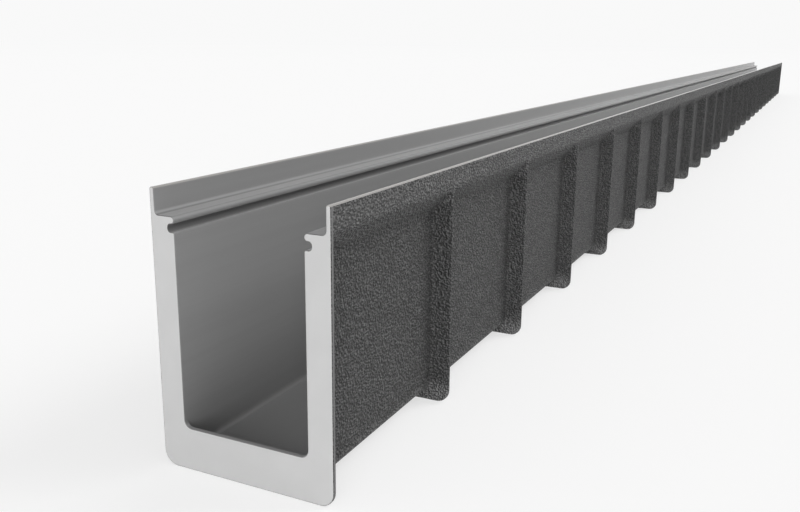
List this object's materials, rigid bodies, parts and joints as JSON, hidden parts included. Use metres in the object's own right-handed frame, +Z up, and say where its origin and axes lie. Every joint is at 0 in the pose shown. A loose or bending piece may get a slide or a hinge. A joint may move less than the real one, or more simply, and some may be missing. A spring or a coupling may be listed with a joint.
{
  "type": "linear drainage channel",
  "caption": "Long plastic rain drainage channel, open at the top, with a grate seat between upstand lips, outside ribs, open end flanges and a floor that falls to one end.",
  "frame": {"origin": "middle of the channel's length and width, at the lowest level of its feet", "axes": "+Y along the channel from the deep end to the shallow end, +X across it, +Z up out of its open top"},
  "size_m": [0.12, 4, 0.172],
  "materials": {
    "channel_plastic": "moulded, grained outside and smooth inside"
  },
  "bodies": {
    "root": {"channel_body": "channel_plastic"}
  },
  "joints": []
}
